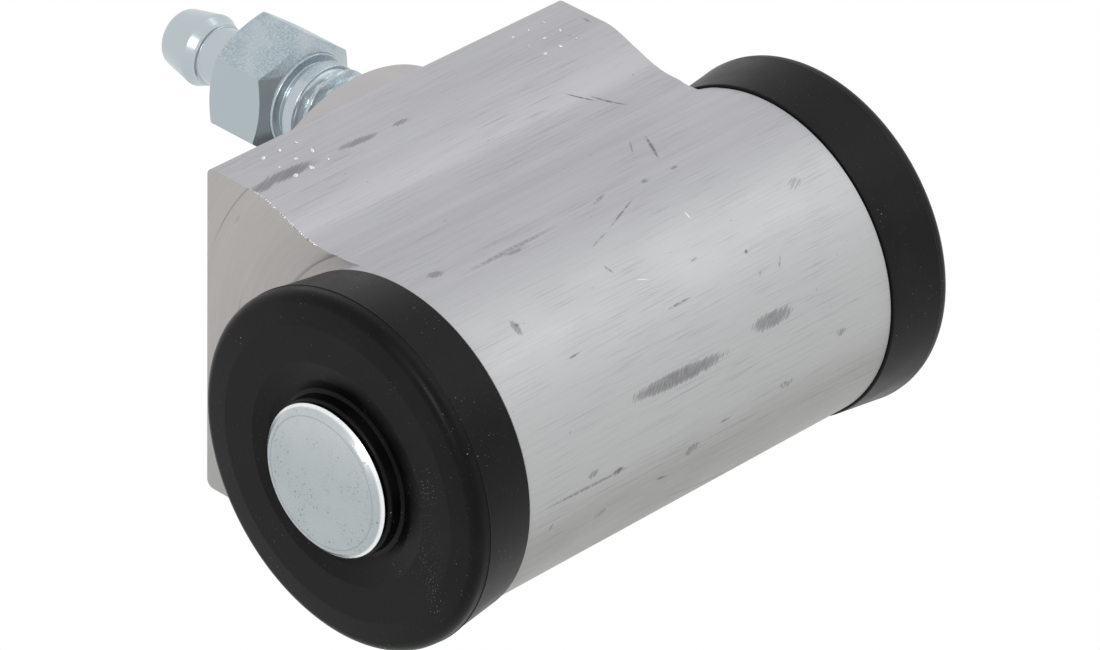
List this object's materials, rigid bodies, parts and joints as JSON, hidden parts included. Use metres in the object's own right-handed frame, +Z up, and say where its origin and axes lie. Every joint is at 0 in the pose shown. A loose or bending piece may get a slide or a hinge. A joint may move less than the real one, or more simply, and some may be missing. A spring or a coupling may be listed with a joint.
{
  "type": "wheel cylinder",
  "caption": "Drum brake wheel cylinder: a round barrel on a mounting flange, with opposed pistons in rubber boots and a bleed screw.",
  "frame": {"origin": "centre of the round mounting boss's end face", "axes": "+Y out of the mounting face, +X along the bore towards the right piston, +Z up, on the bleed screw's side"},
  "size_m": [0.0576, 0.063, 0.03],
  "materials": {
    "extruded_aluminium": "satin, as extruded and turned",
    "zinc_plate": "bright zinc plated steel",
    "spring_steel": "plain spring steel",
    "black_rubber": "satin moulded rubber"
  },
  "bodies": {
    "cylinder": {"cylinder_body": "extruded_aluminium", "left_boot": "black_rubber", "right_boot": "black_rubber", "return_spring": "spring_steel"},
    "left_piston_set": {"left_piston": "zinc_plate", "left_cup_seal": "black_rubber", "left_spring_seat": "spring_steel"},
    "right_piston_set": {"right_piston": "zinc_plate", "right_cup_seal": "black_rubber", "right_spring_seat": "spring_steel"},
    "bleeder": {"bleed_screw": "zinc_plate"}
  },
  "joints": [
    {"name": "left_piston_slide", "type": "slide", "parent": "cylinder", "child": "left_piston_set", "axis": [-1, 0, 0], "range_m": [-0.001, 0.006], "deforming": ["left_boot", "return_spring"]},
    {"name": "right_piston_slide", "type": "slide", "parent": "cylinder", "child": "right_piston_set", "axis": [1, 0, 0], "range_m": [-0.001, 0.006], "deforming": ["right_boot", "return_spring"]},
    {"name": "bleed_screw_turn", "type": "hinge", "parent": "cylinder", "child": "bleeder", "pos_m": [0.0019, 0, 0.0076], "axis": [0, 1, 0], "range_deg": [0, 360]}
  ]
}
